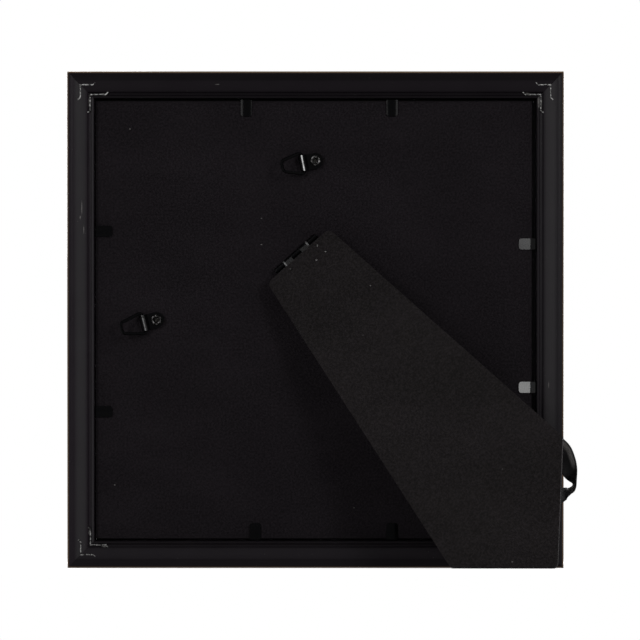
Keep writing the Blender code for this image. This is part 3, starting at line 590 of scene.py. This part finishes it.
for joint in frame["joints"]:
    axis = Vector(joint["axis"])
    if joint["name"].endswith("_swing"):
        strap = joint["parent"]
        fold_glints = glint_bands(joint["pos_m"], axis.cross(back).normalized(), [0], fold_glint_band,
                          fold_glint_share[strap])
        dress(steel_finish(strap + "_finish", **black_steel, glint_line=fold_glints), strap)
    if joint["name"] == "strut_hinge":
        barrel_glints = glint_bands(joint["pos_m"], axis.normalized(), barrel_ends, barrel_glint_band,
                          barrel_glint_share)
        dress(steel_finish("hinge_finish", **black_steel, glint_line=barrel_glints),
              "hinge_board_leaf", "hinge_strut_leaf", "hinge_pin")

# %% [markdown]
# The tabs are stamped from thin lacquered strip and bent down on the board by hand. Each is
# crowned across its width, so its two long edges catch the side softboxes as thin lines. The
# two on one side are nearly flat and lie a little tilted, so their face turns bright as far
# as the bend, and their lacquer is shinier and faintly blue. The solid tab is flat, so a bump
# adds the crown and the tilt: a height that falls with the square of the distance from the
# tab's middle line, and a ramp along it that ends at the bend. A finer mesh could replace
# each tab, but the bump is enough at this size and leaves the solid's outline alone.

# %% The tabs' finishes
tab_crown = 0.055
flat_crown = 0.012
# The slopes along and across the two tilted tabs, and what their lacquer has of its own.
tab_tilts = {"tab_left_a": (0.16, -0.17), "tab_left_b": (0.22, -0.20)}
tab_lacquer = {"tab_left_a": {"light": (0.0020, 0.0040, 0.0110), "shine": 0.078},
               "tab_left_b": {"light": (0.0040, 0.0080, 0.0190), "shine": 0.172}}
# The bend's place from the tab's centre, and how softly the tilt ends there.
bend_run = -1.65
bend_fade = 0.2


def tab_finish(name):
    """Lacquered steel with the crown and the tilt of one tab."""
    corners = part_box(name)
    centre = sum(corners, Vector()) / len(corners) - middle
    centre_x = centre.dot(across) / mm
    centre_z = centre.dot(up) / mm
    upright = abs(centre_z) > abs(centre_x)

    def relief(finish, own):
        x, _, z = parts_of(finish, own)
        beside = x - centre_x if upright else z - centre_z
        run = z - centre_z if upright else x - centre_x
        if name not in tab_tilts:
            return beside * beside * -tab_crown
        run_slope, side_slope = tab_tilts[name]
        lifted = between(finish, run, bend_run - bend_fade, bend_run + bend_fade)
        height = larger(run, bend_run) * run_slope
        return height + lifted * beside * side_slope - beside * beside * flat_crown

    lacquer = {**black_steel, **tab_lacquer.get(name, {})}
    return steel_finish(name + "_finish", **lacquer, relief=relief)


for name in nodes:
    if name.startswith("tab_") and "root" not in name:
        dress(tab_finish(name), name)

# %% [markdown]
# The rails are solid models with a hairline between their mitred ends. On the real frame glue
# fills that line, so a thin black plate stands in it: a copy of the rail's own end faces,
# which are the ones that slant by half a right angle, thickened towards the neighbour.

# %% Glue in the mitres
glue_thickness = 0.19 * mm
mitre_slant = math.sqrt(0.5)
slant_slack = 0.01


def on_mitre(face):
    """Whether a face slants as a rail's mitred end does."""
    slants = [abs(face.normal.dot(axis)) for axis in (across, up)]
    return all(abs(slant - mitre_slant) <= slant_slack for slant in slants)


def mitre_glue(node):
    """A thin plate on each mitred end of a rail."""
    shape = bmesh.new()
    shape.from_mesh(nodes[node].data)
    others = [face for face in shape.faces if not on_mitre(face)]
    bmesh.ops.delete(shape, geom=others, context="FACES")
    mesh = bpy.data.meshes.new(node + "_glue")
    shape.to_mesh(mesh)
    shape.free()
    mesh.materials.append(nodes[node].material_slots[0].material)
    piece = bpy.data.objects.new(node + "_glue", mesh)
    bpy.context.scene.collection.objects.link(piece)
    plate = piece.modifiers.new("plate", "SOLIDIFY")
    plate.thickness = glue_thickness
    plate.offset = 1.0
    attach(piece, "frame")
    print(piece.name, len(mesh.polygons), "faces")


mitre_glue("top_rail")
mitre_glue("bottom_rail")

# %% [markdown]
# Behind the glass lies one bare sheet of insert paper. The backboard and the strut's board
# are pressed hardboard, coloured nearly black all over as painted shade for the dark gap round
# the board, and black paper lines the strut. Glass is nearly all transmission; a little uneven
# roughness stands for the wiping marks that real glass always has. Its colour carries a very
# faint green.

# %% Glass, paper and board
glass = Finish("glass_finish")
glass_own = own_axes(glass)
wiped = noise(glass, stretched(glass, glass_own, (0.02, 0.02, 0.006)), 1.0, detail=5)
glass.look({
    "Base Color": (0.975, 0.990, 0.982, 1),
    "Roughness": between(glass, wiped, 0.45, 0.8, 0.0, 0.06),
    "Transmission Weight": 1.0,
    "IOR": 1.5,
})
dress(glass, "glass_pane")


def fibre_finish(name, dark, light, rough, scale):
    """Paper or pressed board: fine fibres on a slowly varying ground."""
    finish = Finish(name)
    own = own_axes(finish)
    ground = noise(finish, own, 0.03 * scale, detail=3)
    warped = finish.node("ShaderNodeTexNoise", sockets={
        "Vector": stretched(finish, own, (0.5, 1.0, 1.6)),
        "Scale": 1.5 * scale,
        "Detail": 5.0,
        "Roughness": 0.7,
        "Distortion": 1.5,
    })
    fibres = between(finish, warped, 0.35, 0.7)
    finish.look({
        "Base Color": mixed(finish, ground * 0.4 + fibres * 0.5, dark, light),
        "Roughness": rough + fibres * 0.08,
        "Specular IOR Level": 0.3,
        "Normal": bump(finish, fibres, 0.03, 0.5),
    })
    return finish


insert_paper = fibre_finish("insert_paper_finish", (0.74, 0.715, 0.665), (0.83, 0.81, 0.765),
                            rough=0.72, scale=1.0)
# Nearly black: painted shade for the gap round the board.
hardboard_painted_shade = fibre_finish("hardboard_finish", (0.0050, 0.0044, 0.0042), (0.011, 0.0092, 0.0080),
                         rough=0.8, scale=1.4)
liner_paper = fibre_finish("liner_paper_finish", (0.0090, 0.0088, 0.0090),
                           (0.018, 0.0175, 0.018), rough=0.75, scale=2.0)
dress(insert_paper, "picture_sheet")
dress(hardboard_painted_shade, "backboard", "strut_board")
dress(liner_paper, "strut_liner")

# %% [markdown]
# Black velour is a short, dense pile. It swallows light when seen along the hairs and shows
# a soft sheen from the side. The colour is close to black with a faint warm cast; patches
# where the pile was brushed another way are a little lighter, and lint sits in it. Hair
# curves would be far too many at this size, so the pile is a sheen, a fine bump and flecks.

# %% The velour's finish
def velour_finish(name, ground, brushed):
    """Short black pile with brushed patches, flecks and lint."""
    finish = Finish(name)
    own = own_axes(finish)
    pile = noise(finish, own, 5.0, detail=2, roughness=0.7)
    tufts = noise(finish, own, 1.1, detail=4, roughness=0.7)
    nap = noise(finish, stretched(finish, own, (0.02, 0.02, 0.035)), 1.0, detail=4, roughness=0.6)
    lint = specks(finish, stretched(finish, own, (0.5, 1.0, 0.8)), 0.55, 0.012, 0.14)
    light = between(finish, nap, 0.35, 0.75) * 0.22 + between(finish, tufts, 0.35, 0.72) * 0.78
    colour = mixed(finish, light, ground, brushed)
    finish.look({
        "Base Color": mixed(finish, lint, colour, dust_colour),
        "Roughness": 0.86 + pile * 0.12,
        "Specular IOR Level": 0.02,
        "Sheen Weight": 0.03,
        "Sheen Roughness": 0.45,
        "Sheen Tint": (1.0, 0.93, 0.97, 1.0),
        "Normal": bump(finish, pile * 0.6 + tufts * 0.8, 0.12, 0.7),
    })
    return finish


board_velour = velour_finish("board_velour_finish", (0.0036, 0.0030, 0.0036),
                             (0.0114, 0.0096, 0.0112))
strut_velour = velour_finish("strut_velour_finish", (0.0050, 0.0045, 0.0045),
                             (0.0142, 0.0124, 0.0130))

# %% [markdown]
# On the real frame the velour wraps over the edges of board and strut, so no edge is sharp.
# The solid model keeps it as thin plates with square edges. A finer piece takes the plate's
# own mesh and rounds its edges with a Bevel modifier, which keeps every hole in place. The
# rounded edge catches the light along the strut's outline, as in the photograph. The cloth
# also reaches a little past the board on three sides, where the photograph shows almost no
# gap to the moulding.

# %% Velour pieces with soft edges
wrap_start = 100 * mm
velour_wraps = [(across, 1.7 * mm), (up, 1.2 * mm), (-up, 1.2 * mm)]
weld_distance = 0.001 * mm
flat_angle = math.radians(1)
sharp_angle = math.radians(40)


def softened(node, name, body, radius, finish, wraps=()):
    """A copy of a plate with rounded edges, standing for it."""
    mesh = nodes[node].data.copy()
    mesh.name = name
    shape = bmesh.new()
    shape.from_mesh(mesh)
    for outwards, distance in wraps:
        for vertex in shape.verts:
            if (vertex.co - middle).dot(outwards) > wrap_start:
                vertex.co += outwards * distance
    bmesh.ops.remove_doubles(shape, verts=shape.verts, dist=weld_distance)
    bmesh.ops.dissolve_limit(shape, angle_limit=flat_angle, verts=shape.verts,
                             edges=shape.edges)
    shape.to_mesh(mesh)
    shape.free()
    for attribute in ("custom_normal", "sharp_edge", "sharp_face"):
        if attribute in mesh.attributes:
            mesh.attributes.remove(mesh.attributes[attribute])
    mesh.materials.clear()
    mesh.materials.append(finish.owner)
    mesh.shade_smooth()
    piece = bpy.data.objects.new(name, mesh)
    bpy.context.scene.collection.objects.link(piece)
    rounding = piece.modifiers.new("rounding", "BEVEL")
    rounding.width = radius
    rounding.segments = 3
    rounding.limit_method = "ANGLE"
    rounding.angle_limit = sharp_angle
    rounding.harden_normals = True
    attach(piece, body)
    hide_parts(node)
    print(name, len(mesh.polygons), "faces before rounding")


softened("strut_cover", "strut_velour", "strut", 0.5 * mm, strut_velour)
softened("backboard_velour", "board_velour", "frame", 0.15 * mm, board_velour, velour_wraps)

# %% [markdown]
# The ribbon is 10 mm black satin, stapled under the strut and to the board. Cloth that short
# and stiff keeps the shape it was folded to, so it is lofted along its own middle line and
# not simulated: each row gives a place on that line and the way the ribbon's width points.
# Its section is a thin band with a woven bead along each edge. Each vertex also stores its
# place along and across the ribbon, which the satin's weave follows round the fold.

# %% The ribbon's path and section
ribbon_width = 10.0
# Each row: a world place in millimetres, and the way the width points there.
ribbon_rows = (
    ((-81.8, -19.1, 64.8), (-0.06, 0.12, 0.99)),
    ((-91.0, -18.9, 64.1), (-0.13, 0.15, 0.98)),
    ((-100.5, -14.5, 61.4), (-0.23, 0.23, 0.95)),
    ((-108.1, -11.1, 58.0), (-0.38, 0.29, 0.87)),
    ((-112.9, -7.2, 53.5), (-0.57, 0.44, 0.69)),
    ((-114.7, -4.2, 48.3), (-0.66, 0.57, 0.48)),
    ((-115.9, -2.4, 44.1), (-0.52, 0.77, 0.36)),
    ((-117.0, -1.8, 40.2), (-0.20, 0.98, 0.06)),
    ((-117.4, -2.3, 37.1), (0.02, 0.96, -0.27)),
    ((-115.2, -3.1, 35.2), (0.03, 0.94, -0.33)),
    ((-111.5, -3.2, 34.0), (-0.37, 0.74, -0.57)),
    ((-104.1, 1.0, 33.1), (0.00, 0.23, -0.97)),
    ((-93.0, 12.7, 38.8), (0.76, -0.03, -0.65)),
    ((-82.8, 23.3, 56.5), (0.90, -0.14, -0.41)),
)
row_steps = 12
# The section's half: the share of the half width, and half the thickness in millimetres.
half_section = [(0.0, 0.14), (0.25, 0.135), (0.5, 0.12), (0.75, 0.12), (0.9, 0.14), (0.95, 0.2),
                (0.985, 0.2), (1.0, 0.1)]
print("ribbon", len(ribbon_rows), "rows of", ribbon_width, "mm width")


# %% A smooth line through the rows
def smooth_between(four, share):
    """A point between the second and third of four, on the curve through them all."""
    before, start, end, after = [Vector(value) for value in four]
    leave = (end - before) / 2
    arrive = (after - start) / 2
    squared = share * share
    cubed = squared * share
    return (start * (2 * cubed - 3 * squared + 1) + leave * (cubed - 2 * squared + share)
            + end * (3 * squared - 2 * cubed) + arrive * (cubed - squared))


def smooth_line(values):
    """A smooth line through all values, with row_steps pieces between neighbours."""
    values = [Vector(value) for value in values]
    values = [values[0] * 2 - values[1]] + values + [values[-1] * 2 - values[-2]]
    line = []
    for index in range(1, len(values) - 2):
        for step in range(row_steps):
            line.append(smooth_between(values[index - 1:index + 3], step / row_steps))
    return line + [values[-2]]


# %% The ribbon's mesh
def ribbon_section():
    """The closed outline of the section: the upper side, then the lower one back."""
    upper = [(-u, v) for u, v in half_section[::-1]] + half_section[1:]
    return upper + [(u, -v) for u, v in upper[::-1]]


def loft(shape, rings):
    """Joins each ring of vertices to the next one and closes both ends."""
    for ring, following in zip(rings, rings[1:]):
        for index in range(len(ring)):
            ahead = (index + 1) % len(ring)
            shape.faces.new((ring[index], ring[ahead], following[ahead], following[index]))
    shape.faces.new(rings[0])
    shape.faces.new(rings[-1])
    bmesh.ops.recalc_face_normals(shape, faces=shape.faces)


def ribbon_piece():
    """Lofts the ribbon's section along its line."""
    line = smooth_line([row[0] for row in ribbon_rows])
    widths = smooth_line([row[1] for row in ribbon_rows])
    shape = bmesh.new()
    along_layer = shape.verts.layers.float.new("along")
    across_layer = shape.verts.layers.float.new("across")
    travelled = 0.0
    rings = []
    for index, point in enumerate(line):
        if index:
            travelled += (point - line[index - 1]).length
        tangent = (line[min(index + 1, len(line) - 1)] - line[max(index - 1, 0)]).normalized()
        width = (widths[index] - tangent * widths[index].dot(tangent)).normalized()
        thick = tangent.cross(width)
        ring = []
        for u, v in ribbon_section():
            spot = point + width * u * ribbon_width / 2 + thick * v
            vertex = shape.verts.new(spot * mm)
            vertex[along_layer] = travelled
            vertex[across_layer] = u * ribbon_width / 2
            ring.append(vertex)
        rings.append(ring)
    loft(shape, rings)
    mesh = bpy.data.meshes.new("satin_ribbon")
    shape.to_mesh(mesh)
    shape.free()
    mesh.shade_smooth()
    piece = bpy.data.objects.new("satin_ribbon", mesh)
    bpy.context.scene.collection.objects.link(piece)
    return piece, travelled


satin_ribbon, ribbon_length = ribbon_piece()
print("ribbon length", round(ribbon_length, 1), "mm")

# %% [markdown]
# Satin shows long floating threads along the ribbon, so its highlight is broad across and
# streaky along. The threads are noise drawn out along the ribbon, as a colour and as a bump,
# and the woven edges are a wave along them. Where the loop bulges past the frame, a stretch
# beside one edge is painted paler: a painted satin highlight.

# %% The ribbon's finish
# Places on the ribbon are in millimetres, across from its middle, along from the board's end.
selvedge_start = 4.5
selvedge_full = 4.75
thread_dark = (0.0030, 0.0028, 0.0031)
thread_light = (0.0085, 0.0078, 0.0083)
sheen_colour = (0.170, 0.160, 0.155)
# The painted highlight: where it starts, is full, starts to fade and ends.
sheen_across = (1.2, 3.0, 4.0, 4.7)
sheen_along = (27.0, 38.0, 45.0, 49.0)
satin = Finish("satin_finish")


def stored(finish, name):
    """A value that the mesh stores at its vertices."""
    return finish.node("ShaderNodeAttribute", {"attribute_name": name}, output="Fac")


def rise_and_fall(finish, value, start, full, fade, end):
    """Rises smoothly from 0 at start to 1 at full, and falls from 1 at fade to 0 at end."""
    return between(finish, value, start, full) * between(finish, value, end, fade)


ribbon_along = stored(satin, "along")
ribbon_across = stored(satin, "across")
drawn_out = satin.node("ShaderNodeCombineXYZ",
                       sockets={0: ribbon_along * 0.35, 1: ribbon_across * 7.0})
threads = satin.node("ShaderNodeTexNoise", {"noise_dimensions": "2D"},
                     {"Vector": drawn_out, "Scale": 1.0, "Detail": 3.0})
selvedge = between(satin, abs(ribbon_across), selvedge_start, selvedge_full)
picks = ribbon_along.math("SINE", ribbon_along * 9.0)
weave = mixed(satin, threads, thread_dark, thread_light)
sheen_strip = rise_and_fall(satin, ribbon_across, *sheen_across)
sheen_stretch = rise_and_fall(satin, ribbon_along, *sheen_along)
# A stretch painted paler beside one edge: painted satin highlight.
wear_and_sheen = sheen_strip * sheen_stretch * between(satin, threads, 0.2, 0.7)
satin.look({
    "Base Color": mixed(satin, wear_and_sheen, weave, sheen_colour),
    "Roughness": 0.30 + threads * 0.14 + selvedge * 0.2,
    "Specular IOR Level": 0.14,
    "Anisotropic": 0.5,
    "Sheen Weight": 0.04,
    "Sheen Roughness": 0.35,
    "Normal": bump(satin, threads * 0.7 + picks * selvedge, 0.06, 0.6),
})
satin_ribbon.data.materials.append(satin.owner)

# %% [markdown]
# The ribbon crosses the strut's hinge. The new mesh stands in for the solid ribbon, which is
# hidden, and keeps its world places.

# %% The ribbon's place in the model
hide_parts("ribbon")
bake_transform(satin_ribbon)
print(satin_ribbon.name, len(satin_ribbon.data.polygons), "faces")
